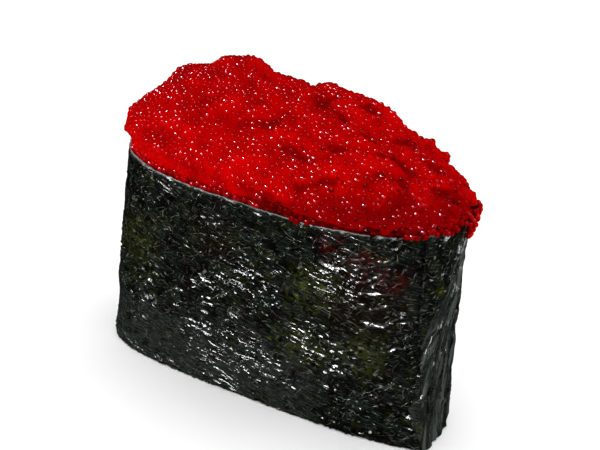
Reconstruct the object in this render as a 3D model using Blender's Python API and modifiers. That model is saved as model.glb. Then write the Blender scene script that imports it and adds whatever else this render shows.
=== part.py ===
# Gunkan sushi: a strip of pressed seaweed stands on edge round a bed of rice and is heaped
# with small red fish roe. The long axis is X, the front is -Y, and the base rests on z = 0.
# All lengths are in metres.
import math

import bmesh
import bpy
import numpy as np
from mathutils import Vector, noise

# Seaweed band, measured on its outer face
BAND_HEIGHT = 0.0328
RIM_RISE_RIGHT = 0.034      # the rim climbs towards the right end
RIM_RISE_BACK = 0.070       # and towards the back
RIM_HALF_LENGTH = 0.0256
RIM_FRONT_WIDTH = 0.0143
RIM_BACK_WIDTH = 0.0143
RIM_SQUARENESS = 2.70
RIM_TAPER = 0.08
RIM_BACK_TAPER = -0.11       # the back narrows towards the right end
BASE_HALF_LENGTH = 0.0267
BASE_FRONT_WIDTH = 0.0095
BASE_BACK_WIDTH = 0.0128
BASE_SQUARENESS = 3.40
BASE_TAPER = -0.15
BASE_SHIFT_X = 0.0015
BASE_SHIFT_Y = 0.0003
CORNER_PUSH = 0.0011        # how far the front right corner stands out at the base
CORNER_ANGLE = -20.0        # where that corner is on the outline, in degrees
CORNER_SPREAD = 16.0        # degrees of the outline that the corner takes
WAIST = 0.0003              # how far the band draws in at half its height, at its right end
RIM_LAP_ANGLE = -26.0       # where the strip's free edge lies at the rim, in degrees
BASE_LAP_ANGLE = -25.0      # and at the base
FOOT_CLEAR = 0.0001         # the band's lower edge is this far off the ground
WALL_SWELL = 0.00028        # how far the grains press the band out
SWELL_LENGTH = 0.0085

# Strip that the band is bent from
STRIP_THICKNESS = 0.0005
LAP_LENGTH = 0.0090
LAP_EASE = 0.0060           # the length in which the strip dips under its own end
STRIP_STEPS = 104
STRIP_ROWS = 12

# Rice and roe
GAP = 0.0003                # between pieces that touch
RICE_TOP = 0.0265
RICE_ROUNDING = 0.0012
HEAP_HEIGHT = 0.0146        # the heap above the rim, near its left end
HEAP_FALL = 0.0064          # how much lower the heap is at its right end
HEAP_STEEPNESS = 2.3        # how full the heap is towards its edge
HEAP_ROUNDNESS_LEFT = 1.40
HEAP_ROUNDNESS_RIGHT = 1.75
HEAP_OVERHANG_LEFT = 0.0015     # how far the roe stands out over the rim
HEAP_OVERHANG_RIGHT = 0.0010
HEAP_LIP_LEFT = 0.0041      # height of the widest part of the heap above the rim
HEAP_LIP_RIGHT = 0.0003
LUMP_HEIGHT = 0.0011
LUMP_LENGTH = 0.0046
RING_POINTS = 76
HEAP_RINGS = 16
HEAP_CAP = 0.035            # the flat middle of the heap, as a share of its half size

# Mounds on the heap: place along and across as a share of its half size, radius and height
MOUNDS = (
    (-0.47, 0.20, 0.0044, 0.0018),
    (-0.84, -0.30, 0.0040, -0.0006),
    (-0.16, 0.28, 0.0040, -0.0038),
    (0.16, 0.20, 0.0060, 0.0026),
    (0.46, 0.35, 0.0034, 0.0010),
    (0.88, 0.60, 0.0040, -0.0030),
)

DENSE = 720                 # points on an outline before it is stepped off evenly


def mix(low, high, share):
    return low + (high - low) * share


def ease(value):
    held = min(max(value, 0.0), 1.0)
    return held * held * (3.0 - 2.0 * held)


def signed_power(value, power):
    return math.copysign(abs(value) ** power, value)


def outline_point(degrees, up):
    # One point of the band's outer outline at a share of its height
    angle = math.radians(degrees)
    power = 2.0 / mix(BASE_SQUARENESS, RIM_SQUARENESS, up)
    along = signed_power(math.cos(angle), power)
    across = signed_power(math.sin(angle), power)
    if across < 0.0:
        width = mix(BASE_FRONT_WIDTH, RIM_FRONT_WIDTH, up)
    else:
        width = mix(BASE_BACK_WIDTH, RIM_BACK_WIDTH, up)
    x = mix(BASE_HALF_LENGTH, RIM_HALF_LENGTH, up) * along + mix(BASE_SHIFT_X, 0.0, up)
    rim_taper = RIM_TAPER if across < 0.0 or along < 0.0 else RIM_BACK_TAPER
    y = width * across * (1.0 + mix(BASE_TAPER, rim_taper, up) * along) + mix(BASE_SHIFT_Y, 0.0, up)
    turn = (degrees - CORNER_ANGLE + 180.0) % 360.0 - 180.0
    push = CORNER_PUSH * (1.0 - up) * math.exp(-(turn / CORNER_SPREAD) ** 2)
    waist = WAIST * math.sin(math.pi * up) * max(along, 0.0)
    return x + 0.6 * push - waist, y - push


class Outline:
    # The band's outline at one height, stepped off by length from the strip's free edge

    def __init__(self, up):
        self.up = up
        start = mix(BASE_LAP_ANGLE, RIM_LAP_ANGLE, up)
        turns = [start + 360.0 * step / DENSE for step in range(DENSE + 1)]
        self.points = np.array([outline_point(turn, up) for turn in turns])
        steps = np.linalg.norm(np.diff(self.points, axis=0), axis=1)
        self.lengths = np.concatenate(([0.0], np.cumsum(steps)))
        self.total = self.lengths[-1]

    def read(self, length):
        held = length % self.total
        x = np.interp(held, self.lengths, self.points[:, 0])
        y = np.interp(held, self.lengths, self.points[:, 1])
        return np.array((x, y))

    def at(self, length, inset):
        # A point that lies inset inside the outline
        ahead = self.read(length + 0.0004)
        behind = self.read(length - 0.0004)
        way = (ahead - behind) / np.linalg.norm(ahead - behind)
        inward = np.array((-way[1], way[0]))
        return self.read(length) + inward * inset


def rim_height(x, y):
    return BAND_HEIGHT + RIM_RISE_RIGHT * x + RIM_RISE_BACK * y


def lap_inset(length, total):
    # The strip's inner end lies under its outer end, one thickness and a gap further in
    depth = STRIP_THICKNESS + GAP
    if length > total - LAP_EASE:
        return depth * ease((length - total + LAP_EASE) / LAP_EASE)
    return 0.0


def filling_inset(length, total):
    # What fills the band stays clear of the strip, and of its inner end behind the lap
    depth = STRIP_THICKNESS + GAP
    held = length % total
    if held < LAP_LENGTH + LAP_EASE:
        return depth * (1.0 - ease((held - LAP_LENGTH) / LAP_EASE))
    return depth * ease((held - total + 1.5 * LAP_EASE) / LAP_EASE)


def swell(x, y, z):
    # The soft bumps that the grains press into the band
    place = Vector((x, y, z)) / SWELL_LENGTH
    return WALL_SWELL * noise.noise(place)


def make_material(name, colour, roughness):
    material = bpy.data.materials.new(name)
    material.use_nodes = True
    shader = material.node_tree.nodes["Principled BSDF"]
    shader.inputs["Base Color"].default_value = (*colour, 1.0)
    shader.inputs["Roughness"].default_value = roughness
    shader.inputs["Metallic"].default_value = 0.0
    return material


def show_smooth(part, degrees):
    part.data.shade_smooth()
    part.data.set_sharp_from_angle(angle=math.radians(degrees))


def loft(name, rings, collection):
    # A closed solid through rings of equally many points, capped flat at both ends
    cage = bmesh.new()
    loops = [[cage.verts.new(point) for point in ring] for ring in rings]
    count = len(loops[0])
    for low, high in zip(loops, loops[1:]):
        for index in range(count):
            after = (index + 1) % count
            cage.faces.new((low[index], low[after], high[after], high[index]))
    cage.faces.new(list(reversed(loops[0])))
    cage.faces.new(loops[-1])
    mesh = bpy.data.meshes.new(name)
    cage.to_mesh(mesh)
    cage.free()
    part = bpy.data.objects.new(name, mesh)
    collection.objects.link(part)
    return part


def add_band(collection):
    # A flat grid is bent round the outline, then given the strip's thickness inwards
    bpy.ops.mesh.primitive_grid_add(x_subdivisions=STRIP_STEPS, y_subdivisions=STRIP_ROWS, size=1.0)
    band = bpy.context.object
    band.name = "nori_wrap"
    band.data.name = "nori_wrap"
    for holder in list(band.users_collection):
        holder.objects.unlink(band)
    collection.objects.link(band)
    outlines = {}
    for vertex in band.data.vertices:
        share = vertex.co.x + 0.5
        up = round(vertex.co.y + 0.5, 6)
        if up not in outlines:
            outlines[up] = Outline(up)
        outline = outlines[up]
        length = share * (outline.total + LAP_LENGTH)
        # past the free edge the strip goes on under its own beginning
        inset = lap_inset(min(length, outline.total), outline.total)
        x, y = outline.at(length, inset)
        z = mix(FOOT_CLEAR, rim_height(x, y), up)
        x, y = outline.at(length, inset - swell(x, y, z))
        vertex.co = (x, y, z)
    thicken = band.modifiers.new("strip thickness", "SOLIDIFY")
    thicken.thickness = STRIP_THICKNESS
    thicken.offset = -1.0
    thicken.use_even_offset = True
    band.data.materials.append(make_material("pressed seaweed", (0.012, 0.018, 0.013), 0.34))
    show_smooth(band, 40.0)
    return band


def filling_ring(up, extra, height=None):
    # A ring just inside the band at a share of its height
    outline = Outline(up)
    ring = []
    for step in range(RING_POINTS):
        length = outline.total * step / RING_POINTS
        clear = STRIP_THICKNESS + GAP + WALL_SWELL + extra
        x, y = outline.at(length, clear + filling_inset(length, outline.total))
        z = up * rim_height(x, y) if height is None else height
        ring.append((x, y, z))
    return ring


def add_rice(collection):
    # Pressed rice fills the band from its base to just under the roe
    top_share = RICE_TOP / BAND_HEIGHT
    low_share = RICE_ROUNDING / BAND_HEIGHT
    rings = [
        filling_ring(0.0, RICE_ROUNDING, 0.0),
        filling_ring(0.5 * low_share, 0.3 * RICE_ROUNDING, 0.3 * RICE_ROUNDING),
        filling_ring(low_share, 0.0, RICE_ROUNDING),
        filling_ring(0.35 * top_share, 0.0, 0.35 * RICE_TOP),
        filling_ring(0.70 * top_share, 0.0, 0.70 * RICE_TOP),
        filling_ring(top_share, 0.0, RICE_TOP - RICE_ROUNDING),
        filling_ring(top_share, RICE_ROUNDING, RICE_TOP),
    ]
    rice = loft("rice_base", rings, collection)
    rice.data.materials.append(make_material("pressed rice", (0.80, 0.77, 0.69), 0.45))
    show_smooth(rice, 35.0)
    return rice


def mound_height(along, across):
    # Extra height of the separate mounds at a place given as shares of the heap's half size
    total = 0.0
    for place_x, place_y, radius, height in MOUNDS:
        away_x = (along - place_x) * RIM_HALF_LENGTH / radius
        away_y = (across - place_y) * RIM_FRONT_WIDTH / radius
        total += height * math.exp(-(away_x * away_x + away_y * away_y))
    return total


def heap_lump(x, y, rise):
    return noise.noise(Vector((x, y, rise)) / LUMP_LENGTH) * LUMP_HEIGHT


def heap_point(edge, share):
    # A point of the heap's skin: share runs from 1 at its widest ring to 0 at its middle
    x = edge[0] * share
    y = edge[1] * share
    rightward = ease(0.5 + 0.5 * x / RIM_HALF_LENGTH)
    roundness = mix(HEAP_ROUNDNESS_LEFT, HEAP_ROUNDNESS_RIGHT, rightward)
    full = (1.0 - share ** HEAP_STEEPNESS) ** (1.0 / roundness)
    height = HEAP_HEIGHT - HEAP_FALL * rightward
    lip = mix(HEAP_LIP_LEFT, HEAP_LIP_RIGHT, rightward)
    rise = lip + (height - lip) * full
    rise += mound_height(x / RIM_HALF_LENGTH, y / RIM_FRONT_WIDTH) * full
    lump = heap_lump(x, y, rise)
    out = Vector((edge[0], edge[1], 0.0)).normalized() * lump * share
    return x + out.x, y + out.y, rim_height(x, y) + rise + lump * full


def lip_ring(outer, share):
    # A ring of the heap's outer face, from the rim at 0 to the heap's widest ring at 1
    ring = []
    for step in range(RING_POINTS):
        length = outer.total * step / RING_POINTS
        rightward = ease(0.5 + 0.5 * outer.read(length)[0] / RIM_HALF_LENGTH)
        overhang = mix(HEAP_OVERHANG_LEFT, HEAP_OVERHANG_RIGHT, rightward)
        lip = mix(HEAP_LIP_LEFT, HEAP_LIP_RIGHT, rightward)
        x, y = outer.at(length, -overhang * share * share)
        ring.append((x, y, rim_height(x, y) + mix(2.0 * GAP, lip, share)))
    return ring


def add_roe(collection):
    # The heap seats inside the band, steps out over the rim and domes up
    seat = RICE_TOP + GAP
    seat_share = seat / BAND_HEIGHT
    outer = Outline(1.0)
    over_rim = [(x, y, rim_height(x, y) + GAP) for x, y, z in filling_ring(1.0, 0.0)]
    rings = [
        filling_ring(seat_share, 0.0010, seat),
        filling_ring(seat_share, 0.0, seat + 0.0010),
        over_rim,
        lip_ring(outer, 0.0),
        lip_ring(outer, 0.4),
    ]
    edges = [(x, y) for x, y, z in lip_ring(outer, 1.0)]
    for ring in range(HEAP_RINGS):
        # rings crowd towards the edge, where the skin turns down
        share = 1.0 - (1.0 - HEAP_CAP) * (ring / (HEAP_RINGS - 1)) ** 1.4
        rings.append([heap_point(edge, share) for edge in edges])
    roe = loft("roe_heap", rings, collection)
    roe.data.materials.append(make_material("red roe", (0.62, 0.004, 0.004), 0.25))
    show_smooth(roe, 60.0)
    return roe


def main():
    for leftover in list(bpy.data.objects):
        bpy.data.objects.remove(leftover, do_unlink=True)
    collection = bpy.data.collections.new("gunkan_sushi")
    bpy.context.scene.collection.children.link(collection)
    add_band(collection)
    add_rice(collection)
    add_roe(collection)


main()
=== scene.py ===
import math

import bmesh
import bpy
import numpy as np
from mathutils import Matrix, Vector
from mathutils.bvhtree import BVHTree
from mathutils.kdtree import KDTree


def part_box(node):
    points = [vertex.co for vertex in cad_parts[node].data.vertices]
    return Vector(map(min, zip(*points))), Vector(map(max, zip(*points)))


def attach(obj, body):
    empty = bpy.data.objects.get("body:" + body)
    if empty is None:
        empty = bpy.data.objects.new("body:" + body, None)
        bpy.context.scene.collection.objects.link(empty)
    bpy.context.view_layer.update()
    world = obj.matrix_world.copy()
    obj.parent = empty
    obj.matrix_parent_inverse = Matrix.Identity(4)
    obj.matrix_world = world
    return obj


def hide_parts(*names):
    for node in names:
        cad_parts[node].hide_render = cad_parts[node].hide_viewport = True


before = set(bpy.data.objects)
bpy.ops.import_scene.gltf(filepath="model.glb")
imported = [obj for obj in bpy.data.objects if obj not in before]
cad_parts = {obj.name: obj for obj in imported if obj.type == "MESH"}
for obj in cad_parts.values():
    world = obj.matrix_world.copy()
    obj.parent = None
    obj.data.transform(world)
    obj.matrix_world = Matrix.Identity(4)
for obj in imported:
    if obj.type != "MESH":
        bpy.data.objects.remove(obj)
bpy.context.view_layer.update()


class Wire:
    # one output in a material; arithmetic on it adds Math nodes
    def __init__(self, shade, socket):
        self.shade = shade
        self.socket = socket

    def __add__(self, other):
        return self.shade.maths("ADD", self, other)

    def __radd__(self, other):
        return self.shade.maths("ADD", other, self)

    def __sub__(self, other):
        return self.shade.maths("SUBTRACT", self, other)

    def __rsub__(self, other):
        return self.shade.maths("SUBTRACT", other, self)

    def __mul__(self, other):
        return self.shade.maths("MULTIPLY", self, other)

    def __rmul__(self, other):
        return self.shade.maths("MULTIPLY", other, self)

    def __pow__(self, other):
        return self.shade.maths("POWER", self, other)


class Shade:
    # a material being put together
    def __init__(self, name):
        self.material = bpy.data.materials.new(name)
        self.material.use_nodes = True
        self.tree = self.material.node_tree
        self.tree.nodes.clear()

    def node(self, kind, settings, sockets, out=0):
        made = self.tree.nodes.new(kind)
        for name, value in settings.items():
            setattr(made, name, value)
        for name, value in sockets.items():
            if isinstance(value, Wire):
                self.tree.links.new(value.socket, made.inputs[name])
            else:
                made.inputs[name].default_value = value
        return Wire(self, made.outputs[out]) if made.outputs else None

    def maths(self, operation, first, second):
        return self.node("ShaderNodeMath", {"operation": operation}, {0: first, 1: second})

    def clamp(self, value):
        return self.node("ShaderNodeClamp", {}, {"Value": value, "Min": 0.0, "Max": 1.0})

    def step(self, value, low, high):
        # 0 up to low, 1 from high on, smooth between; low may be the larger
        settings = {"interpolation_type": "SMOOTHSTEP"}
        return self.node("ShaderNodeMapRange", settings, {"Value": value, "From Min": low, "From Max": high})

    def blend(self, share, first, second):
        # a colour between two others
        return self.node("ShaderNodeMix", {"data_type": "RGBA"}, {0: share, 6: first, 7: second}, 2)

    def attribute(self, name, out):
        return self.node("ShaderNodeAttribute", {"attribute_name": name}, {}, out)

    def places(self):
        return self.node("ShaderNodeTexCoord", {}, {}, "Object")

    def moved(self, places, change, value):
        # places after a "Location", "Rotation" or "Scale"
        return self.node("ShaderNodeMapping", {}, {"Vector": places, change: value})

    def clouds(self, places, scale, detail=3.0, roughness=0.55, distortion=0.0):
        sockets = {"Vector": places, "Scale": scale, "Detail": detail,
                   "Roughness": roughness, "Distortion": distortion}
        return self.node("ShaderNodeTexNoise", {}, sockets)

    def bump(self, height, strength, distance):
        sockets = {"Height": height, "Strength": strength, "Distance": distance}
        return self.node("ShaderNodeBump", {}, sockets)

    def finish(self, shader):
        self.node("ShaderNodeOutputMaterial", {}, {"Surface": shader})
        return self.material

    def surface(self, sockets):
        return self.finish(self.node("ShaderNodeBsdfPrincipled", {}, sockets))


def mix(low, high, share):
    return low + (high - low) * share


def ease(value):
    held = np.clip(value, 0.0, 1.0)
    return held * held * (3.0 - 2.0 * held)


class Ripple:
    # smooth random waves over a plane, the same each run
    def __init__(self, seed, size=256):
        turns = np.random.default_rng(seed).random((size, size)) * 2.0 * np.pi
        self.size = size
        self.slopeX = np.cos(turns)
        self.slopeY = np.sin(turns)

    def at(self, x, y):
        cellX = np.floor(x).astype(int)
        cellY = np.floor(y).astype(int)
        insideX = x - cellX
        insideY = y - cellY

        def corner(stepX, stepY):
            row = (cellX + stepX) % self.size
            column = (cellY + stepY) % self.size
            return self.slopeX[row, column] * (insideX - stepX) + self.slopeY[row, column] * (insideY - stepY)

        # the usual fade across a cell, 6t^5 - 15t^4 + 10t^3
        shareX = insideX ** 3 * (insideX * (6.0 * insideX - 15.0) + 10.0)
        shareY = insideY ** 3 * (insideY * (6.0 * insideY - 15.0) + 10.0)
        near = mix(corner(0, 0), corner(1, 0), shareX)
        far = mix(corner(0, 1), corner(1, 1), shareX)
        return mix(near, far, shareY) * 1.4      # about -1 to 1


def makePiece(name, points, faces, material):
    mesh = bpy.data.meshes.new(name)
    mesh.from_pydata([tuple(point) for point in points], [], [tuple(face) for face in faces])
    mesh.update()
    mesh.shade_smooth()
    mesh.materials.append(material)
    piece = bpy.data.objects.new(name, mesh)
    bpy.context.scene.collection.objects.link(piece)
    return piece


def addValues(piece, name, values):
    # a value or a vector at every point, for the material to read
    vectors = values.ndim == 2
    layer = piece.data.attributes.new(name, "FLOAT_VECTOR" if vectors else "FLOAT", "POINT")
    layer.data.foreach_set("vector" if vectors else "value", values.ravel())


def settle(piece, node):
    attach(piece, "root")
    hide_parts(node)


cameraView = {
    "azimuth": 25.4,           # degrees round from the front, to the right
    "elevation": 22.6,
    "roll": 8.5,
    "distance": 0.1641,
    "lens": 67.9,
    "aim": (0.00197, 0.0, 0.0249),
}


def placeCamera(view):
    around = math.radians(view["azimuth"])
    rise = math.radians(view["elevation"])
    back = Vector((math.sin(around) * math.cos(rise), -math.cos(around) * math.cos(rise), math.sin(rise)))
    camera = bpy.data.objects.new("camera", bpy.data.cameras.new("camera"))
    camera.data.lens = view["lens"]
    camera.data.sensor_width = 36.0
    camera.data.clip_start = 0.01
    camera.data.clip_end = 20.0
    camera.location = Vector(view["aim"]) + back * view["distance"]
    aim = (-back).to_track_quat("-Z", "Y").to_matrix().to_4x4()
    roll = Matrix.Rotation(math.radians(view["roll"]), 4, "Z")
    camera.rotation_mode = "QUATERNION"
    camera.rotation_quaternion = (aim @ roll).to_quaternion()
    bpy.context.scene.collection.objects.link(camera)
    bpy.context.scene.camera = camera


placeCamera(cameraView)
print("camera placed")


# Seaweed band: the outline that it follows is the solid's, given at the rim and the base
bandShape = {
    "height": 0.0328,
    "riseRight": 0.034,        # slope of the rim to the right, and to the back
    "riseBack": 0.070,
    "rim": {"halfLength": 0.0256, "front": 0.0143, "back": 0.0143, "squareness": 2.70,
            "taper": 0.08, "backTaper": -0.11, "shiftX": 0.0, "shiftY": 0.0, "lapTurn": -26.0},
    "base": {"halfLength": 0.0267, "front": 0.0095, "back": 0.0128, "squareness": 3.40,
             "taper": -0.15, "backTaper": -0.15, "shiftX": 0.0015, "shiftY": 0.0003, "lapTurn": -25.0},
    "cornerPush": 0.0011,
    "cornerTurn": -20.0,       # where round the base the corner is pushed out, degrees
    "cornerSpread": 16.0,
    "cornerSlant": 0.6,
    "waist": 0.0003,           # how far the right end is drawn in at half its height
}

noriSheet = {
    "thickness": 0.00022,
    "lapLength": 0.009,
    "lapEase": 0.004,
    "lapGap": 0.00012,
    "columns": 610,
    "rows": 134,
    "footClear": 0.0001,
    "warpLength": 0.0045,     # creases and folds are bent by waves of this length
    "warp": 0.45,
    "driftLength": 0.011,
    "patchLength": 0.008,     # some patches are smoother than others
    "patchFloor": 0.3,
    "swell": 0.00020,         # soft bumps pressed out by the grains
    "swellLength": 0.0070,
    "creases": ((0.00042, 0.0085, 0.0028), (0.00016, 0.0060, 0.0014), (0.00007, 0.0040, 0.0008)),
    "creaseTurn": -14.0,      # degrees that the creases lean, down to the right
    "creaseDrift": 40.0,      # degrees that the lean changes by from place to place
    "folds": 0.00052,         # upright folds round the right end
    "foldWidth": 0.0019,
    "foldLength": 0.011,
    "foldSweep": 15.0,        # how much they lean to the right as they go up
    "foldReach": 0.016,
    "foldStart": -0.0044,
    "foldEase": 0.0020,
    "foldCrumple": 0.15,
    "edgeWave": 0.00016,      # waves along the upper and lower edges
    "edgeWaveLength": 0.0032,
    "freeEdgeLift": 0.00022,
    "freeEdgeReach": 0.0012,
    "freeEdgeWave": 0.00035,
    "freeEdgeLength": 0.0045,
    "freeEdgeNick": (-0.0009, 0.0068, 0.0013),      # depth, place and width
    "freeEdgeFoot": (0.0009, 0.0028),               # depth and height
    "seed": 11,
}


def sideShape(up):
    return {key: mix(bandShape["base"][key], bandShape["rim"][key], up) for key in bandShape["rim"]}


def outlinePoints(up, turns):
    # the band's outer outline at a share of its height, for turns in degrees
    side = sideShape(up)
    angles = np.radians(turns)
    power = 2.0 / side["squareness"]
    along = np.sign(np.cos(angles)) * np.abs(np.cos(angles)) ** power
    across = np.sign(np.sin(angles)) * np.abs(np.sin(angles)) ** power
    width = np.where(across < 0.0, side["front"], side["back"])
    taper = np.where((across > 0.0) & (along > 0.0), side["backTaper"], side["taper"])
    x = side["halfLength"] * along + side["shiftX"]
    y = width * across * (1.0 + taper * along) + side["shiftY"]
    turned = (turns - bandShape["cornerTurn"] + 180.0) % 360.0 - 180.0
    push = bandShape["cornerPush"] * (1.0 - up) * np.exp(-(turned / bandShape["cornerSpread"]) ** 2)
    waist = bandShape["waist"] * math.sin(math.pi * up) * np.maximum(along, 0.0)
    return x + bandShape["cornerSlant"] * push - waist, y - push


class Outline:
    # the outline at one height, stepped off by length from the strip's free edge
    def __init__(self, up):
        turns = sideShape(up)["lapTurn"] + np.linspace(0.0, 360.0, 721)
        self.x, self.y = outlinePoints(up, turns)
        steps = np.hypot(np.diff(self.x), np.diff(self.y))
        self.lengths = np.concatenate(([0.0], np.cumsum(steps)))
        self.total = self.lengths[-1]

    def read(self, lengths):
        held = lengths % self.total
        return np.interp(held, self.lengths, self.x), np.interp(held, self.lengths, self.y)

    def at(self, lengths, inset):
        # places moved in from the outline, square to its direction over a short reach
        reach = 0.0004
        aheadX, aheadY = self.read(lengths + reach)
        behindX, behindY = self.read(lengths - reach)
        span = np.hypot(aheadX - behindX, aheadY - behindY)
        x, y = self.read(lengths)
        return x - (aheadY - behindY) / span * inset, y + (aheadX - behindX) / span * inset


def rimHeight(x, y):
    # the rim lies in a plane that slopes
    return bandShape["height"] + bandShape["riseRight"] * x + bandShape["riseBack"] * y


ripples = [Ripple(noriSheet["seed"] + step) for step in range(11)]


def ridges(ripple, x, y):
    return (1.0 - 2.0 * np.abs(ripple.at(x, y))) ** 2


def wrinkles(along, up):
    # how far the sheet stands out, for places in metres along and up the strip
    warpLength = noriSheet["warpLength"]
    driftLength = noriSheet["driftLength"]
    patchLength = noriSheet["patchLength"]
    swellLength = noriSheet["swellLength"]
    warpX = ripples[0].at(along / warpLength, up / warpLength) * noriSheet["warp"]
    warpY = ripples[1].at(along / warpLength, up / warpLength) * noriSheet["warp"]
    drift = noriSheet["creaseDrift"] * ripples[2].at(along / driftLength + 7.0, up / driftLength)
    lean = np.radians(noriSheet["creaseTurn"] + drift)
    onward = along * np.cos(lean) + up * np.sin(lean)
    sideways = up * np.cos(lean) - along * np.sin(lean)
    crumple = 0.0
    for step, (height, long, wide) in enumerate(noriSheet["creases"]):
        crumple = crumple + height * ridges(ripples[3 + step], onward / long + warpX, sideways / wide + warpY)
    patch = ease(0.6 + ripples[6].at(along / patchLength, up / patchLength))
    swell = noriSheet["swell"] * ripples[7].at(along / swellLength, up / swellLength)
    # upright folds round the end, leaning more the higher they go
    sweep = along - noriSheet["foldSweep"] * up * up
    leaning = sweep / noriSheet["foldWidth"]
    rising = up / noriSheet["foldLength"] + warpY
    fold = noriSheet["folds"] * ridges(ripples[8], leaning + 0.6 * warpX, rising)
    reach = noriSheet["foldReach"]
    begun = ease((sweep - noriSheet["foldStart"]) / noriSheet["foldEase"])
    folded = ease((reach - along) / (0.4 * reach)) * begun
    flat = crumple * mix(noriSheet["patchFloor"], 1.0, patch)
    return mix(flat, fold + noriSheet["foldCrumple"] * crumple, folded) + swell


def freeEdge(up):
    # how far the free edge lies from its straight line: wavy, nicked low down, curled in at the foot
    wave = float(ripples[9].at(np.array([up / noriSheet["freeEdgeLength"]]), np.array([0.5]))[0])
    nick, place, width = noriSheet["freeEdgeNick"]
    foot, tall = noriSheet["freeEdgeFoot"]
    nicked = nick * math.exp(-((up - place) / width) ** 2)
    return wave * noriSheet["freeEdgeWave"] + nicked + foot * math.exp(-(up / tall) ** 2)


def makeNoriPoints():
    columns = noriSheet["columns"]
    rows = noriSheet["rows"]
    outer = []
    inner = []
    strip = []
    for row in range(rows + 1):
        up = row / rows
        outline = Outline(up)
        start = freeEdge(up * bandShape["height"])
        lengths = np.linspace(start, outline.total + noriSheet["lapLength"], columns + 1)
        heights = np.full_like(lengths, up * bandShape["height"])
        under = (lengths - outline.total + noriSheet["lapEase"]) / noriSheet["lapEase"]
        dip = (noriSheet["thickness"] + noriSheet["lapGap"]) * ease(under)
        dip = dip - noriSheet["freeEdgeLift"] * np.exp(-(lengths - start) / noriSheet["freeEdgeReach"])
        x, y = outline.at(lengths, dip)
        height = rimHeight(x, y)
        stand = wrinkles(lengths, heights)
        # one row of waves for the lower edge and one for the upper, gone an eighth of the way in
        line = np.full_like(lengths, 3.0 + 9.0 * round(up))
        wave = ripples[10].at(lengths / noriSheet["edgeWaveLength"], line)
        edge = noriSheet["edgeWave"] * (wave * ease(up * 8.0 - 7.0) + np.abs(wave) * ease(1.0 - up * 8.0))
        z = mix(noriSheet["footClear"], height, up) + edge
        x, y = outline.at(lengths, dip - stand)
        outer.append(np.stack((x, y, z), axis=1))
        x, y = outline.at(lengths, dip - stand + noriSheet["thickness"])
        inner.append(np.stack((x, y, z), axis=1))
        strip.append(np.stack((lengths, heights, np.zeros_like(lengths)), axis=1))
    return outer, inner, strip


def buildNori(material):
    outer, inner, strip = makeNoriPoints()
    columns = noriSheet["columns"]
    rows = noriSheet["rows"]
    # the inner face is hidden by what fills the band, so only a few of its rows are kept
    keptRows = [rows, rows - 2, rows // 2, 2, 0]
    rings = outer + [inner[row] for row in keptRows]
    around = strip + [strip[row] for row in keptRows]
    faces = []
    for ring in range(len(rings)):
        after = (ring + 1) % len(rings)
        for column in range(columns):
            corner = ring * (columns + 1) + column
            above = after * (columns + 1) + column
            faces.append((corner, corner + 1, above + 1, above))
    for side in (0, columns):
        loop = [ring * (columns + 1) + side for ring in range(len(rings))]
        faces.append(loop if side == columns else loop[::-1])
    piece = makePiece("nori_sheet", np.concatenate(rings), faces, material)
    addValues(piece, "strip", 1000.0 * np.concatenate(around))
    return piece


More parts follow.
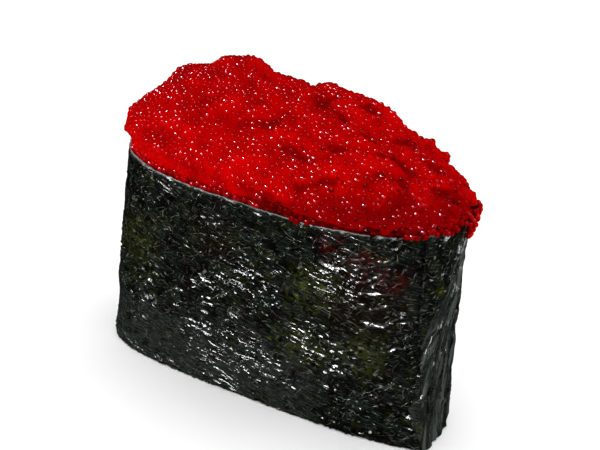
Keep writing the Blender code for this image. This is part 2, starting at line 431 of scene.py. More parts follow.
# Seaweed colours and patterns; places on the strip are in mm along and mm up
noriLook = {
    "dark": (0.0026, 0.0030, 0.0024, 1.0),
    "green": (0.0055, 0.0130, 0.0085, 1.0),
    "olive": (0.0330, 0.0370, 0.0030, 1.0),
    "leaf": (0.0800, 0.1150, 0.0040, 1.0),
    "purple": (0.0130, 0.0060, 0.0065, 1.0),
    "brown": (0.0120, 0.0055, 0.0020, 1.0),
    "red": (0.0650, 0.0004, 0.0020, 1.0),
    "thread": (0.2300, 0.2500, 0.2150, 1.0),
    # fold: painted sheen on the crests of the folds round the end
    "fold": (0.1200, 0.1400, 0.1240, 1.0),
    # rim: painted highlight along the top edge and the free edge
    "rim": (0.1600, 0.1800, 0.1650, 1.0),
    # painted sheen: paler grey-green standing in for reflected light on the end folds and the lower front
    "paintedSheen": (0.0300, 0.0390, 0.0360, 1.0),
    "grain": (0.0750, 0.0850, 0.0720, 1.0),
    # where they gather: mm along, mm up, mm across
    "oliveSpots": ((88.0, 20.0, 7.0), (118.5, 22.5, 6.0), (116.7, 12.5, 5.5), (1.0, 3.0, 2.0),
                   (3.5, 24.0, 1.6), (126.0, 14.0, 5.0)),
    "leafSpots": ((117.1, 22.7, 0.9), (119.8, 23.2, 0.8), (116.0, 21.0, 0.6), (88.0, 23.0, 0.7),
                  (0.5, 4.2, 0.5), (0.3, 2.6, 0.6), (3.5, 24.0, 0.9), (112.0, 12.0, 0.6)),
    "redSpots": ((120.6, 30.3, 3.0), (125.3, 28.0, 4.0), (129.3, 26.0, 3.0)),
    "brownSpots": ((125.0, 22.0, 9.0), (103.0, 26.0, 6.0)),
    "shineSpots": ((108.0, 19.0, 7.5), (121.0, 24.0, 5.5), (105.0, 7.0, 8.0), (118.0, 14.0, 5.0)),
    # clouds of noise: scale, detail, roughness and distortion
    "cloth": (2.0, 1.0, 0.6),
    "patch": (0.42, 3.0, 0.6, 0.4),
    "blot": (0.5, 3.0, 0.6, 0.4),
    "speck": (1.5, 2.0, 0.6),
    "pleat": (1.1, 3.0, 0.62, 0.9),
    "grit": (4.0, 3.0, 0.7),
    "gloss": (0.24, 2.0),
    "drift": (0.25, 1.0, 1.6),         # how streaks wander: scale, detail and mm
    "curl": (0.30, 1.5, 2.0),          # how hairs wander
    "streakTurn": 0.20,
    "stretch": (0.12, 1.0, 1.0),       # streaks and hairs are drawn out along their length
    "foldStretch": 0.11,
    "otherPlaces": (40.0, 9.0, 3.0),
    "hairScale": 1.15,
    "hairWidth": 0.034,
    # hairs: the way they run, and the cloud values where there are none and all of them
    "hairs": ((0.35, 0.52, 0.64), (-0.55, 0.46, 0.36), (-1.15, 0.44, 0.34)),
    # where a pattern is absent and where it is full: cloud values, or mm along or up the strip
    "cuts": {
        "green": (0.42, 0.66),
        "purple": (0.54, 0.70),
        "olive": (0.52, 0.36),
        "oliveSpecks": (0.38, 0.60),
        "leaf": (0.40, 0.56),
        "red": (0.42, 0.60),
        "foldAlong": (13.0, 9.1),
        "foldStart": (0.2, 1.2),
        "foldSweep": (-4.4, -2.4),
        "foldSheen": (0.38, 0.46),
        "foldEdge": (0.48, 0.60),
        "lowUp": (17.0, 3.0),
        "lowAlong": (126.0, 112.0),
        "grit": (0.52, 0.66),
        "gritPatch": (0.30, 0.55),
        "threads": (0.30, 0.60),
        "paintedSheen": (0.36, 0.56),
        "rimUp": (32.2, 32.7),
        "rimAlong": (0.35, 0.15),
        "rimSpecks": (0.42, 0.58),
        "rimBlots": (0.46, 0.56),
        "gloss": (0.52, 0.62),
        "shine": (0.45, 0.54),
        "dull": (0.36, 0.60),
        "dullUp": (32.3, 32.8),
    },
    "roughness": (0.11, 0.12, 0.50),   # everywhere, more where dull, more on the cut edge
    "relief": 0.00013,
}


def spotMask(look, strip, spots):
    # 1 at the middle of any of the spots, 0 away from them
    total = 0.0
    for along, up, across in spots:
        middle = (along, up, 0.0)
        gap = look.node("ShaderNodeVectorMath", {"operation": "DISTANCE"}, {0: strip, 1: middle}, "Value")
        total = look.step(gap, across, 0.2 * across) + total
    return look.clamp(total)


def wandering(look, strip, scale, detail, far):
    # places on the strip, each moved a little way off
    cloud = look.node("ShaderNodeTexNoise", {}, {"Vector": strip, "Scale": scale, "Detail": detail}, "Color")
    return look.node("ShaderNodeVectorMath", {"operation": "MULTIPLY_ADD"},
                     {0: cloud, 1: (far, far, 0.0), 2: strip}, "Vector")


def hairMask(look, strip):
    # thin lines of even width, where the cells of a net meet, thinned out by clouds
    curled = wandering(look, strip, *noriLook["curl"])
    width = noriLook["hairWidth"]
    total = 0.0
    for turn, absent, present in noriLook["hairs"]:
        turned = look.moved(curled, "Rotation", (0.0, 0.0, turn))
        drawn = look.moved(turned, "Scale", noriLook["stretch"])
        net = look.node("ShaderNodeTexVoronoi", {"feature": "DISTANCE_TO_EDGE", "voronoi_dimensions": "2D"},
                        {"Vector": drawn, "Scale": noriLook["hairScale"]}, "Distance")
        cloud = look.clouds(look.moved(turned, "Location", (9.0, 7.0 * turn, 0.0)), 0.8, 1.0)
        total = look.step(net, width, 0.3 * width) * look.step(cloud, absent, present) + total
    return look.clamp(total)


def noriMaterial():
    look = Shade("pressed seaweed")
    cuts = noriLook["cuts"]
    strip = look.attribute("strip", "Vector")
    streaked = wandering(look, strip, *noriLook["drift"])
    streaked = look.moved(streaked, "Rotation", (0.0, 0.0, noriLook["streakTurn"]))
    streaked = look.moved(streaked, "Scale", noriLook["stretch"])
    other = look.moved(strip, "Location", noriLook["otherPlaces"])
    split = look.node("ShaderNodeSeparateXYZ", {}, {"Vector": strip}).socket.node
    along = Wire(look, split.outputs["X"])
    high = Wire(look, split.outputs["Y"])
    sweep = along - 0.001 * noriSheet["foldSweep"] * high * high
    upright = look.node("ShaderNodeCombineXYZ", {}, {"X": sweep, "Y": high * noriLook["foldStretch"]})
    cloth = look.clouds(streaked, *noriLook["cloth"])
    grit = look.clouds(streaked, *noriLook["grit"])
    patch = look.clouds(strip, *noriLook["patch"])
    blot = look.clouds(other, *noriLook["blot"])
    speck = look.clouds(other, *noriLook["speck"])
    pleat = look.clouds(upright, *noriLook["pleat"])
    fibre = look.node("ShaderNodeTexNoise", {"noise_type": "RIDGED_MULTIFRACTAL", "normalize": True},
                      {"Vector": streaked, "Scale": 1.25, "Detail": 1.5, "Roughness": 0.55, "Lacunarity": 2.1,
                       "Offset": 0.9, "Gain": 2.0})
    hairs = hairMask(look, strip)
    # upright folds round the end where the sheet's free edge lies
    folded = look.step(along, *cuts["foldAlong"]) * look.step(along, *cuts["foldStart"])
    folded = folded * look.step(sweep, *cuts["foldSweep"])
    # the lower front: a painted sheen stands in for the floor's reflection there, grain is heavier and the
    # streaks gather more
    low = look.step(high, *cuts["lowUp"]) * look.step(along, *cuts["lowAlong"]) * (1.0 - folded)
    red = look.step(speck, *cuts["red"]) * spotMask(look, strip, noriLook["redSpots"])
    # colours, each laid over those before it by its share
    colour = look.blend(look.step(patch, *cuts["green"]), noriLook["dark"], noriLook["green"])
    olive = look.step(blot, *cuts["olive"]) * 0.5 + 0.9 * spotMask(look, strip, noriLook["oliveSpots"])
    grainy = (look.step(grit, cuts["grit"][0] - 0.06 * low, cuts["grit"][1] - 0.06 * low)
              * look.step(patch, cuts["gritPatch"][0] - 0.12 * low, cuts["gritPatch"][1] - 0.12 * low))
    threads = hairs * (1.0 - 0.8 * folded) * (0.8 - 0.4 * red)
    # painted highlight along the top edge, and fainter along the free edge
    rim = look.clamp(look.step(high, *cuts["rimUp"]) + 0.3 * look.step(along, *cuts["rimAlong"]))
    rim = rim * look.step(speck, *cuts["rimSpecks"])
    for share, name in (
        (look.step(blot, *cuts["purple"]) * 0.8, "purple"),
        (look.clamp(look.step(speck, *cuts["oliveSpecks"]) * olive), "olive"),
        (look.step(cloth, *cuts["leaf"]) * spotMask(look, strip, noriLook["leafSpots"]), "leaf"),
        (0.6 * spotMask(look, strip, noriLook["brownSpots"]), "brown"),
        (red * 0.8, "red"),
        # painted sheen on the folds
        (folded * look.step(pleat, *cuts["foldSheen"]) * 0.6, "paintedSheen"),
        (grainy * (1.0 - 0.8 * red) * (0.45 + 0.30 * low), "grain"),
        # painted sheen on the fold crests
        (look.step(pleat, *cuts["foldEdge"]) * folded * 0.85, "fold"),
        (threads * look.step(speck, *cuts["threads"]), "thread"),
        # painted sheen over the lower front, standing in for the floor's reflection
        (low * look.step(patch, *cuts["paintedSheen"]) * 0.5, "paintedSheen"),
        # painted highlight on the edges
        (rim * look.step(blot, *cuts["rimBlots"]) * 0.45, "rim"),
    ):
        colour = look.blend(share, colour, noriLook[name])
    # relief: streaks where the gloss gathers, and the hairs and folds everywhere
    shine = spotMask(look, strip, noriLook["shineSpots"])
    gloss = look.step(look.clouds(other, *noriLook["gloss"]), *cuts["gloss"]) * 0.4
    gather = look.clamp(gloss + 0.9 * shine * look.step(blot, *cuts["shine"]) + 0.3 * low)
    streaks = (fibre * 1.3 + cloth * 0.10) * (0.14 + 0.86 * gather) * (1.0 - 0.85 * folded)
    height = streaks + hairs * 0.08 + pleat * 2.6 * folded
    dull = look.clamp(look.step(patch, *cuts["dull"]) * (1.0 - 0.7 * shine))
    base, inDull, onEdge = noriLook["roughness"]
    return look.surface({
        "Base Color": colour,
        "Roughness": look.clamp(base + inDull * dull + onEdge * look.step(high, *cuts["dullUp"])),
        "IOR": 1.5,
        "Anisotropic": 0.7,
        "Normal": look.bump(height, 1.0, noriLook["relief"]),
    })


nori = buildNori(noriMaterial())
settle(nori, "nori_wrap")
print("seaweed made:", len(nori.data.polygons), "faces")


riceGrains = {
    "length": 0.0052,
    "width": 0.0025,
    "pitch": 0.0031,          # closest that two grains may lie
    "tries": 6000,
    "clear": 0.0022,          # from the band's outside to a grain's middle
    "lift": 0.00115,
    "unevenness": 0.0004,
    "lean": 0.25,
    "sizes": (0.88, 1.1),
    "footClear": 0.00004,
    "core": ((0.0012, 0.0016), (0.0016, 0.0009)),      # height and clearance of its lower rings
    "coreSides": 120,
    "seed": 5,
}


def riceMaterial():
    look = Shade("cooked rice")
    places = look.places()
    cloud = look.clouds(places, 300.0, 3.0)
    colour = look.blend(cloud, (0.78, 0.75, 0.68, 1.0), (0.88, 0.86, 0.80, 1.0))
    return look.surface({
        "Base Color": colour,
        "Roughness": look.clamp(0.30 + 0.2 * cloud),
        "Subsurface Weight": 0.4,
        "Subsurface Radius": (1.0, 0.9, 0.8),
        "Subsurface Scale": 0.0008,
        "Normal": look.bump(look.clouds(places, 900.0, 3.0), 0.3, 0.0002),
    })


def grainCage(long, wide):
    # a grain standing upright, from half its length and half its width
    cage = bmesh.new()
    bmesh.ops.create_uvsphere(cage, u_segments=12, v_segments=8, radius=1.0)
    for vertex in cage.verts:
        taper = 1.0 - 0.18 * vertex.co.z * vertex.co.z
        x, y, z = vertex.co
        vertex.co = (x * wide * taper, y * wide * 0.85 * taper, z * long)
    points = np.array([vertex.co[:] for vertex in cage.verts])
    faces = [[vertex.index for vertex in face.verts] for face in cage.faces]
    cage.free()
    return points, faces


def insideBase(x, y, clear):
    # whether a place lies so far inside the band's foot
    outline = Outline(0.0)
    lengths = np.linspace(0.0, outline.total, 90)
    edgeX, edgeY = outline.at(lengths, clear)
    turns = np.arctan2(y, x)
    edgeTurns = np.arctan2(edgeY, edgeX)
    order = np.argsort(edgeTurns)
    reach = np.interp(turns, edgeTurns[order], np.hypot(edgeX, edgeY)[order], period=2.0 * np.pi)
    return np.hypot(x, y) < reach


def buildRice(material):
    luck = np.random.default_rng(riceGrains["seed"])
    low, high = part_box("rice_base")
    cagePoints, cageFaces = grainCage(0.5 * riceGrains["length"], 0.5 * riceGrains["width"])
    points = []
    faces = []
    spots = []
    for attempt in range(riceGrains["tries"]):
        x = luck.uniform(low[0], high[0])
        y = luck.uniform(low[1], high[1])
        if not insideBase(x, y, riceGrains["clear"]):
            continue
        if any(math.hypot(x - other[0], y - other[1]) < riceGrains["pitch"] for other in spots):
            continue
        spots.append((x, y))
    for x, y in spots:
        lean = Matrix.Rotation(luck.uniform(-riceGrains["lean"], riceGrains["lean"]), 3, "X")
        lean = lean @ Matrix.Rotation(0.5 * math.pi, 3, "Y")
        turn = Matrix.Rotation(luck.uniform(0.0, math.pi), 3, "Z") @ lean
        size = luck.uniform(*riceGrains["sizes"])
        placed = cagePoints @ np.array(turn).T * size
        placed += np.array((x, y, riceGrains["lift"] + luck.uniform(0.0, riceGrains["unevenness"])))
        placed[:, 2] = np.maximum(placed[:, 2], riceGrains["footClear"])
        start = len(points) * len(cagePoints)
        points.append(placed)
        faces.extend([[start + index for index in face] for face in cageFaces])
    return makePiece("rice_grains", np.concatenate(points), faces, material), len(spots)


def buildRiceCore(material):
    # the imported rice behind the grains, out to just inside the band
    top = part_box("rice_base")[1][2]
    rings = []
    count = riceGrains["coreSides"]
    foot, side = riceGrains["core"]
    for z, clear in (foot, side, (0.5 * top, side[1]), (top, side[1])):
        outline = Outline(z / bandShape["height"])
        x, y = outline.at(np.arange(count) / count * outline.total, clear)
        rings.append(np.stack((x, y, np.full(count, z)), axis=1))
    faces = []
    for ring in range(len(rings) - 1):
        for step in range(count):
            after = (step + 1) % count
            faces.append((ring * count + step, ring * count + after,
                          (ring + 1) * count + after, (ring + 1) * count + step))
    faces.append(list(range(count))[::-1])
    faces.append([(len(rings) - 1) * count + step for step in range(count)])
    return makePiece("rice_core", np.concatenate(rings), faces, material)


riceLook = riceMaterial()
grains, grainCount = buildRice(riceLook)
settle(grains, "rice_base")
riceCore = buildRiceCore(riceLook)
settle(riceCore, "rice_base")
print("rice made:", grainCount, "grains")


# Roe: a core with eggs in relief, and loose eggs bedded on it
roeEggs = {
    "diameter": 0.00098,
    "spread": 0.10,            # how much the eggs differ in size
    "pitch": 0.00070,          # closest that two eggs may lie at first
    "spacing": 0.00084,        # what they are then pushed apart to
    "tries": 60000,
    "most": 4000,
    "bedding": 0.50,           # how deep an egg's middle lies, in diameters
    "unevenness": 0.00018,
    "coreVoxel": 0.00042,
    "coreSink": 0.00006,
    "valley": 0.00009,         # depth of the core between its eggs
    "coreClear": 0.0001,       # the least that the core stays below the skin
    "bumpRadius": 0.62,        # of an egg's bump in the core, in diameters
    "skirt": (0.0012, 0.0016), # how far below the rim the relief begins, and the height it grows over
    "lowest": -0.0003,         # where the loose eggs begin, over the rim
    # no loose eggs on the underside of the overhang: facing, height over the rim and place along
    "underside": (-0.2, 0.003, -0.002),
    "lumps": 0.00055,
    "lumpLength": 0.0036,
    "finerLumps": 0.00030,
    "finerLength": 0.0019,
    "pits": 0.00050,
    "pitLength": 0.0034,
    "lumpsKept": (0.40, 0.45),      # share of the lumps at the left, and more at the right
    "pitsKept": (0.12, 0.88),
    "pitCut": (0.12, 0.38),
    "turnLength": 0.034,            # from the smoother left to the rougher right
    "shade": (0.016, 0.006, 0.006), # painted shade over the front right: reach along, up and across
    "rimPitch": 0.00080,
    "rimShift": (-0.00014, 0.0002),
    # rows of eggs along the rim: inset at the left and at the right, height over the rim
    "rimRows": ((0.0004, 0.0004, 0.0002), (0.0006, 0.0002, 0.0007)),
    # knots of eggs and dents: place along and across, reach and height
    "knots": ((0.0156, 0.0100, 0.0010, 0.0010), (0.0179, 0.0113, 0.0010, 0.0011),
              (0.0205, 0.0107, 0.0015, -0.0007), (0.0077, 0.0054, 0.0016, -0.0007),
              (-0.0056, 0.0099, 0.0018, 0.0006), (-0.0102, 0.0076, 0.0014, -0.0004),
              (-0.0118, 0.0053, 0.0014, 0.0004), (-0.0238, -0.0036, 0.0015, -0.0006),
              (-0.0218, 0.0014, 0.0015, 0.0006)),
    "spillTries": 900,
    # eggs hanging over the rim: place along the strip, reach, depth and thickness
    "spills": ((0.0113, 0.0022, 0.0040, 0.0011), (0.0050, 0.0026, 0.0010, 0.0002),
               (-0.0010, 0.0010, 0.0006, 0.0001), (0.1165, 0.0010, 0.0003, 0.0)),
    "seed": 23,
}


roeLook = {
    # the flesh runs from deep to bright by its tone and by painted light and shade
    "deep": (0.15, 0.0002, 0.0010, 1.0),
    "bright": (0.95, 0.0005, 0.0006, 1.0),
    # painted glow: an emission that lifts the flesh's shade as light through the clear eggs would
    "deepGlow": (0.006, 0.0, 0.0, 1.0),
    "brightGlow": (0.070, 0.0, 0.0, 1.0),
    "film": (1.0, 0.58, 0.70, 1.0),
    "filmShare": (0.002, 0.095),     # on the dullest egg, and how much more on the wettest
    "heapShare": 0.97,               # how far the flesh is lit as the heap's skin is
}


def roeMaterial(name, wet):
    # tone differs from egg to egg, and painted light and shade from cluster to cluster, in the base colour
    # and in an emission that is a painted glow; the clear flesh is lit as the whole heap is, by the way its
    # skin faces, and the wet film over it as each egg is
    look = Shade(name)
    tone = look.attribute("tone", "Fac")
    paintedLightAndShade = look.attribute("paintedLightAndShade", "Fac")
    heapFacing = look.attribute("heapFacing", "Vector")
    eggFacing = look.node("ShaderNodeNewGeometry", {}, {}, "Normal")
    sockets = {0: roeLook["heapShare"], 4: eggFacing, 5: heapFacing}
    facing = look.node("ShaderNodeMix", {"data_type": "VECTOR"}, sockets, 1)
    facing = look.node("ShaderNodeVectorMath", {"operation": "NORMALIZE"}, {0: facing}, "Vector")
    cloud = look.clouds(look.places(), 160.0, 3.0)
    toneAndPaintedLight = look.clamp(paintedLightAndShade * 0.6 + tone * 0.2 + cloud * 0.2)
    flesh = look.node("ShaderNodeBsdfPrincipled", {}, {
        "Base Color": look.blend(toneAndPaintedLight, roeLook["deep"], roeLook["bright"]),
        "Roughness": 0.6,
        "Specular IOR Level": 0.0,
        "Normal": facing,
        # painted glow
        "Emission Color": look.blend(toneAndPaintedLight, roeLook["deepGlow"], roeLook["brightGlow"]),
        "Emission Strength": 1.0,
    })
    if not wet:
        return look.finish(flesh)
    film = look.node("ShaderNodeBsdfPrincipled", {}, {
        "Base Color": roeLook["film"],
        "Metallic": 1.0,
        "Roughness": 0.17,
    })
    least, more = roeLook["filmShare"]
    share = least + more * tone ** 6.0
    return look.finish(look.node("ShaderNodeMixShader", {}, {0: share, 1: flesh, 2: film}))


def readMesh(mesh):
    points = np.empty(len(mesh.vertices) * 3)
    mesh.vertices.foreach_get("co", points)
    facing = np.empty(len(mesh.vertices) * 3)
    mesh.vertices.foreach_get("normal", facing)
    mesh.calc_loop_triangles()
    corners = np.empty(len(mesh.loop_triangles) * 3, dtype=int)
    mesh.loop_triangles.foreach_get("vertices", corners)
    return points.reshape(-1, 3), facing.reshape(-1, 3), corners.reshape(-1, 3)


def fineHeap():
    # the solid's heap again in small even faces, finer above the rim
    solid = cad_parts["roe_heap"]
    rough = bpy.data.objects.new("rough", solid.data.copy())
    rough.data.transform(solid.matrix_world)
    bpy.context.scene.collection.objects.link(rough)
    remesh = rough.modifiers.new("even faces", "REMESH")
    remesh.mode = "VOXEL"
    remesh.voxel_size = roeEggs["coreVoxel"]
    soften = rough.modifiers.new("soften", "SMOOTH")
    soften.iterations = 3
    mesh = bpy.data.meshes.new_from_object(rough.evaluated_get(bpy.context.evaluated_depsgraph_get()))
    bpy.data.objects.remove(rough)
    fine = bmesh.new()
    fine.from_mesh(mesh)
    middles = [(face, face.calc_center_median()) for face in fine.faces]
    shown = [face for face, middle in middles if middle.z > rimHeight(middle.x, middle.y) - 0.0006]
    edges = {edge for face in shown for edge in face.edges}
    bmesh.ops.subdivide_edges(fine, edges=list(edges), cuts=1, use_grid_fill=True, smooth=0.5)
    bmesh.ops.triangulate(fine, faces=fine.faces)
    fine.normal_update()
    fine.to_mesh(mesh)
    fine.free()
    return mesh


def clusters(points):
    # how far the heap's clusters stand out and its pits go in, and the painted light and shade at each place
    x, y, z = points.T
    rightward = ease(0.5 + x / roeEggs["turnLength"])
    lump, finer, pit = (
        ripples[step].at((x + lean * z) / reach, (y + z) / reach + 40.0)
        for step, lean, reach in ((3, 0.6, roeEggs["lumpLength"]), (6, -0.5, roeEggs["finerLength"]),
                                  (4, -0.2, roeEggs["pitLength"])))
    deep = ease((pit - roeEggs["pitCut"][0]) / roeEggs["pitCut"][1])
    least, more = roeEggs["lumpsKept"]
    out = (lump * roeEggs["lumps"] + finer * roeEggs["finerLumps"]) * (least + more * rightward)
    least, more = roeEggs["pitsKept"]
    out = out - deep * roeEggs["pits"] * (least + more * rightward)
    for alongX, acrossY, reach, height in roeEggs["knots"]:
        out = out + height * np.exp(-((x - alongX) ** 2 + (y - acrossY) ** 2) / reach ** 2)
    # painted shade: the front right, low over the rim, is painted darker
    reachAlong, reachUp, reachAcross = roeEggs["shade"]
    shaded = ease(0.1 + x / reachAlong) * ease(0.5 - y / reachAcross)
    shaded = shaded * ease(1.0 - (z - rimHeight(x, y)) / reachUp)
    # painted light and shade: lighter on the lumps, darker in the pits and over the front right
    paintedLightAndShade = np.clip(0.66 + 0.4 * lump - (0.15 + 0.75 * rightward) * deep - 1.1 * shaded, 0.0, 1.0)
    return out, paintedLightAndShade


def aboveRim(points):
    return points[:, 2] - rimHeight(points[:, 0], points[:, 1])


def scatter(points, corners, pitch, luck, tries):
    # places on a skin, no two closer than the pitch
    a, b, c = (points[corners[:, column]] for column in range(3))
    cross = np.cross(b - a, c - a)
    areas = np.linalg.norm(cross, axis=1)
    picked = luck.choice(len(corners), size=tries, p=areas / areas.sum())
    first = np.sqrt(luck.random(tries))[:, None]
    second = luck.random(tries)[:, None]
    spots = a[picked] * (1.0 - first) + b[picked] * first * (1.0 - second) + c[picked] * first * second
    kept = []
    cells = {}
    near = [(i, j, k) for i in (-1, 0, 1) for j in (-1, 0, 1) for k in (-1, 0, 1)]
    for index, spot in enumerate(spots.tolist()):
        x, y, z = (math.floor(value / pitch) for value in spot)
        around = (other for i, j, k in near for other in cells.get((x + i, y + j, z + k), ()))
        if all(math.dist(other, spot) >= pitch for other in around):
            cells.setdefault((x, y, z), []).append(spot)
            kept.append(index)
    return spots[kept]


def treeOf(places):
    tree = KDTree(len(places))
    for index, place in enumerate(places):
        tree.insert(place, index)
    tree.balance()
    return tree


def spreadOut(spots, skin, spacing, rounds=6, share=0.35):
    # pushes crowded eggs apart along the skin
    facing = np.zeros_like(spots)
    for turn in range(rounds):
        tree = treeOf(spots)
        moved = spots.copy()
        for index, spot in enumerate(spots):
            for place, other, far in tree.find_range(spot, spacing):
                if other != index and far > 0.0:
                    moved[index] += share * (spacing - far) / far * (spot - spots[other])
            place, normal, face, reach = skin.find_nearest(moved[index])
            moved[index] = place
            facing[index] = normal
        spots = moved
    return spots, facing


def eggRelief(points, centres, sizes):
    # how far the eggs of the core stand above the valleys between them
    tree = treeOf(centres)
    relief = np.zeros(len(points))
    for index, point in enumerate(points):
        place, nearest, reach = tree.find(point)
        radius = roeEggs["bumpRadius"] * sizes[nearest]
        relief[index] = math.sqrt(max(0.0, 1.0 - (reach / radius) ** 2))
    return relief


def eggCage():
    # a low round form, finer on the side that shows, +Z
    sides = 8
    rings = (0.62, 1.22, 1.95)
    points = [(0.0, 0.0, 0.5)]
    for step, turn in enumerate(rings):
        for side in range(sides):
            angle = 2.0 * math.pi * (side + 0.5 * (step % 2)) / sides
            across = 0.5 * math.sin(turn)
            points.append((across * math.cos(angle), across * math.sin(angle), 0.5 * math.cos(turn)))
    points.append((0.0, 0.0, -0.5))
    faces = []
    for side in range(sides):
        after = (side + 1) % sides
        faces.append((0, 1 + side, 1 + after))
        for step in range(len(rings) - 1):
            low = 1 + step * sides
            high = low + sides
            if step % 2 == 0:
                faces.append((low + side, high + side, low + after))
                faces.append((low + after, high + side, high + after))
            else:
                faces.append((low + side, high + side, high + after))
                faces.append((low + side, high + after, low + after))
        last = 1 + (len(rings) - 1) * sides
        faces.append((last + after, last + side, len(points) - 1))
    return np.array(points), np.array(faces)


def buildEggs(name, spots, outward, sizes, material, luck):
    ball, ballFaces = eggCage()
    points = []
    for spot, way, size in zip(spots, outward, sizes):
        turn = Vector(way).to_track_quat("Z", "Y").to_matrix()
        turn = turn @ Matrix.Rotation(luck.uniform(0.0, 6.28), 3, "Z")
        stretch = np.array((1.0, luck.uniform(0.88, 1.0), 1.0))
        points.append((ball * stretch) @ np.array(turn).T * size + spot)
    starts = np.arange(len(spots))[:, None, None] * len(ball)
    faces = (ballFaces[None] + starts).reshape(-1, 3)
    return makePiece(name, np.concatenate(points), faces.tolist(), material), len(ball)


def rimEggs(luck):
    # rows of eggs lying against the band's inside, just over its edge
    outline = Outline(1.0)
    count = int(outline.total / roeEggs["rimPitch"])
    centres = []
    facing = []
    for insetLeft, insetRight, over in roeEggs["rimRows"]:
        lengths = (np.arange(count) + luck.uniform(-0.3, 0.3, count)) * outline.total / count
        x, y = outline.at(lengths, 0.0)
        inset = mix(insetLeft, insetRight, ease(0.35 + x / 0.016)) + luck.uniform(*roeEggs["rimShift"], count)
        x, y = outline.at(lengths, inset)
        insideX, insideY = outline.at(lengths, inset + 0.001)
        z = rimHeight(x, y) + over + luck.uniform(-0.0002, 0.0002, count)
        centres.append(np.stack((x, y, z), axis=1))
        facing.append(np.stack((x - insideX, y - insideY, np.full(count, 0.0012)), axis=1))
    facing = np.concatenate(facing)
    return np.concatenate(centres), facing / np.linalg.norm(facing, axis=1)[:, None]


def spiltEggs(luck):
    # eggs that hang over the rim, outside the band, in rounded drops
    outline = Outline(1.0)
    centres = []
    facing = []
    for place, reach, depth, thickness in roeEggs["spills"]:
        for attempt in range(roeEggs["spillTries"]):
            length = place + luck.uniform(-1.8, 1.8) * reach
            lowest = depth * math.exp(-((length - place) / reach) ** 2)
            down = luck.uniform(-0.0004, depth)
            if down > lowest:
                continue
            bulge = thickness * (lowest / depth) * math.sqrt(max(0.0, 1.0 - (down / depth) ** 2))
            x, y = outline.at(np.array([length]), -0.0003 - bulge)
            insideX, insideY = outline.at(np.array([length]), 0.001)
            spot = (x[0], y[0], rimHeight(x[0], y[0]) + 0.0002 - down)
            if any(math.dist(spot, other) < roeEggs["pitch"] for other in centres):
                continue
            centres.append(spot)
            way = Vector((x[0] - insideX[0], y[0] - insideY[0], 0.0)).normalized()
            facing.append((way + Vector((0.0, 0.0, 0.5 - 0.8 * down / depth))).normalized()[:])
    return np.array(centres), np.array(facing)


def lifted(facing):
    # where the heap overhangs, it is lit as if it leaned back a little
    raised = facing + np.maximum(0.0, 0.35 - facing[:, 2:3]) * np.array((0.0, 0.0, 0.8))
    return raised / np.linalg.norm(raised, axis=1)[:, None]


def skinFacing(points, corners):
    # the way that a skin faces at each of its points
    a, b, c = (points[corners[:, column]] for column in range(3))
    cross = np.cross(b - a, c - a)
    total = np.zeros_like(points)
    for column in range(3):
        np.add.at(total, corners[:, column], cross)
    return total / np.maximum(np.linalg.norm(total, axis=1), 1e-20)[:, None]


def buildRoe():
    luck = np.random.default_rng(roeEggs["seed"])
    mesh = fineHeap()
    points, facing, corners = readMesh(mesh)
    below, over = roeEggs["skirt"]
    shown = ease((aboveRim(points) + below) / over)      # 0 on the skin that the band hides
    out, paintedLightAndShade = clusters(points)
    lumpy = points + facing * (out * shown)[:, None]
    clear = aboveRim(lumpy)[corners].mean(axis=1) > roeEggs["lowest"]
    tree = BVHTree.FromPolygons(lumpy.tolist(), corners.tolist())
    spots = scatter(lumpy, corners[clear], roeEggs["pitch"], luck, roeEggs["tries"])
    spots, outward = spreadOut(spots, tree, roeEggs["spacing"])
    down, height, place = roeEggs["underside"]
    hidden = (outward[:, 2] < down) & (aboveRim(spots) < height) & (spots[:, 0] > place)
    spots = spots[~hidden]
    outward = outward[~hidden]
    sizes = roeEggs["diameter"] * (1.0 + roeEggs["spread"] * luck.normal(size=len(spots)).clip(-1.8, 1.8))
    # the core carries a bump for every egg, and the loose ones lie in it
    depth = roeEggs["valley"] * (1.0 - eggRelief(lumpy, spots, sizes)) + roeEggs["coreSink"]
    core = lumpy - facing * (depth * shown + roeEggs["coreClear"])[:, None]
    heart = makePiece("roe_core", core, corners.tolist(), roeMaterial("red roe below", False))
    addValues(heart, "tone", np.full(len(core), 0.6))
    addValues(heart, "paintedLightAndShade", paintedLightAndShade)
    addValues(heart, "heapFacing", lifted(skinFacing(lumpy, corners)))
    sink = roeEggs["bedding"] * sizes + luck.uniform(-0.5, 0.5, len(spots)) * roeEggs["unevenness"]
    centres = spots - outward * sink[:, None]
    edge, edgeOutward = (np.concatenate(pair) for pair in zip(rimEggs(luck), spiltEggs(luck)))
    loose = luck.permutation(len(spots))[:roeEggs["most"] - len(edge)]
    centres = np.concatenate((centres[loose], edge))
    sizes = np.concatenate((sizes[loose], np.full(len(edge), roeEggs["diameter"])))
    outward = np.concatenate((outward[loose], edgeOutward))
    tones = luck.random(len(centres))
    eggs, corner = buildEggs("roe_eggs", centres, outward, sizes, roeMaterial("red roe", True), luck)
    addValues(eggs, "tone", np.repeat(tones, corner))
    addValues(eggs, "paintedLightAndShade", np.repeat(clusters(centres)[1], corner))
    addValues(eggs, "heapFacing", np.repeat(lifted(outward), corner, axis=0))
    return eggs, heart, len(spots)


roe, roeCore, eggCount = buildRoe()
settle(roe, "roe_heap")
settle(roeCore, "roe_heap")
print("roe made:", eggCount, "eggs,", len(roe.data.polygons), "+", len(roeCore.data.polygons), "faces")


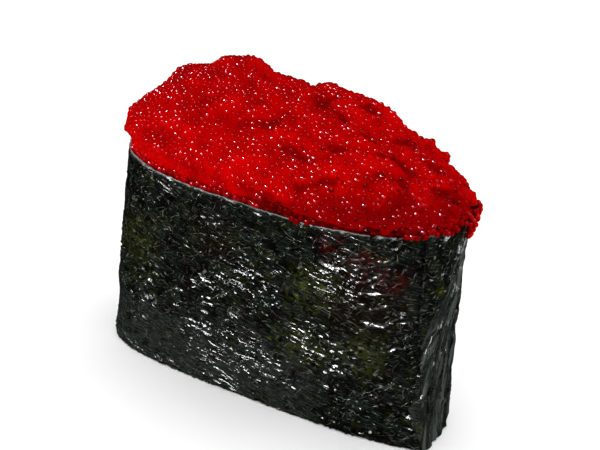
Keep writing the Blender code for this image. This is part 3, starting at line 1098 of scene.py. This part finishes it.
studio = {
    "floorSize": 4.0,
    "floorColour": (0.97, 0.97, 0.97, 1.0),
    "wallRadius": 0.9,
    "wallHeight": 1.6,
    "worldStrength": 0.32,
    # eggs are clear and let light through
    "shadowless": ("key through the roe", "fill through the roe"),
    # name, place, width and height, power, what it lights, and whether its gloss is all that it gives
    "lamps": (
        ("overhead", (0.0, 0.0, 1.20), (2.0, 2.0), 24.0, "floor", False),
        ("key", (-0.38, -0.06, 0.52), (0.9, 0.9), 0.92, "sushi", False),
        ("key through the roe", (-0.38, -0.06, 0.52), (0.9, 0.9), 0.75, "roe", False),
        ("fill through the roe", (0.05, -0.60, 0.06), (0.6, 0.4), 1.1, "roe", False),
        ("back fill", (0.50, 0.25, 0.42), (0.6, 0.6), 1.5, "roe", False),
        ("roe glint back", (0.50, 0.10, 0.34), (0.20, 0.20), 0.5, "roe", True),
        ("roe glint left", (-0.26, -0.26, 0.52), (0.34, 0.34), 19.0, "roe", True),
        ("roe glint right", (0.22, -0.42, 0.46), (0.22, 0.22), 2.0, "roe", True),
        ("front", (0.05, -0.62, 0.20), (0.60, 0.13), 13.5, "nori", True),
        ("front high", (-0.12, -0.45, 0.42), (0.50, 0.14), 13.0, "nori", True),
        ("front left", (-0.50, -0.45, 0.18), (0.20, 0.20), 3.0, "nori", True),
        ("left", (-0.62, 0.30, 0.16), (0.40, 0.40), 3.0, "nori", True),
        ("right", (0.60, 0.35, 0.25), (0.40, 0.40), 3.4, "nori", True),
        ("soft", (0.10, -0.60, 0.10), (0.80, 0.50), 1.3, "nori", True),
        ("back", (-0.10, 0.65, 0.25), (0.30, 0.30), 2.2, "nori", True),
    ),
}


def buildStage():
    bpy.ops.mesh.primitive_plane_add(size=studio["floorSize"])
    floor = bpy.context.object
    floor.name = "floor"
    look = Shade("pale floor")
    floor.data.materials.append(look.surface({"Base Color": studio["floorColour"], "Roughness": 0.8}))
    floor.visible_glossy = False
    tall = studio["wallHeight"]
    bpy.ops.mesh.primitive_cylinder_add(radius=studio["wallRadius"], depth=tall, vertices=96,
                                        end_fill_type="NOTHING", location=(0.0, 0.0, 0.5 * tall))
    wall = bpy.context.object
    wall.name = "backdrop"
    look = Shade("white backdrop")
    wall.data.materials.append(look.surface({"Base Color": (0.0, 0.0, 0.0, 1.0), "Emission Strength": 1.0,
                                             "Emission Color": (1.0, 1.0, 1.0, 1.0)}))
    wall.visible_glossy = False
    wall.visible_diffuse = False
    wall.visible_shadow = False
    return floor


def groupFor(name, *pieces):
    group = bpy.data.collections.new(name)
    for piece in pieces:
        group.objects.link(piece)
    return group


def lightScene(groups):
    world = bpy.data.worlds.new("studio")
    world.use_nodes = True
    world.node_tree.nodes["Background"].inputs["Color"].default_value = (1.0, 1.0, 1.0, 1.0)
    world.node_tree.nodes["Background"].inputs["Strength"].default_value = studio["worldStrength"]
    world.cycles_visibility.glossy = False
    bpy.context.scene.world = world
    for name, place, size, power, lit, glossOnly in studio["lamps"]:
        light = bpy.data.lights.new(name, "AREA")
        light.shape = "ELLIPSE"
        light.size, light.size_y = size
        light.energy = power
        light.use_shadow = name not in studio["shadowless"]
        lamp = bpy.data.objects.new(name, light)
        lamp.location = place
        lamp.rotation_euler = (Vector((0.0, 0.0, 0.03)) - Vector(place)).to_track_quat("-Z", "Y").to_euler()
        lamp.visible_diffuse = not glossOnly
        lamp.visible_glossy = glossOnly
        lamp.visible_camera = False
        lamp.light_linking.receiver_collection = groups[lit]
        bpy.context.scene.collection.objects.link(lamp)
    bpy.context.scene.view_settings.view_transform = "Standard"


floor = buildStage()
lightScene({
    "nori": groupFor("nori gloss", nori, grains, riceCore),
    "roe": groupFor("roe gloss", roe, roeCore),
    "sushi": groupFor("sushi", nori, grains, riceCore, roe, roeCore),
    "floor": groupFor("ground", floor),
})
print("studio set")
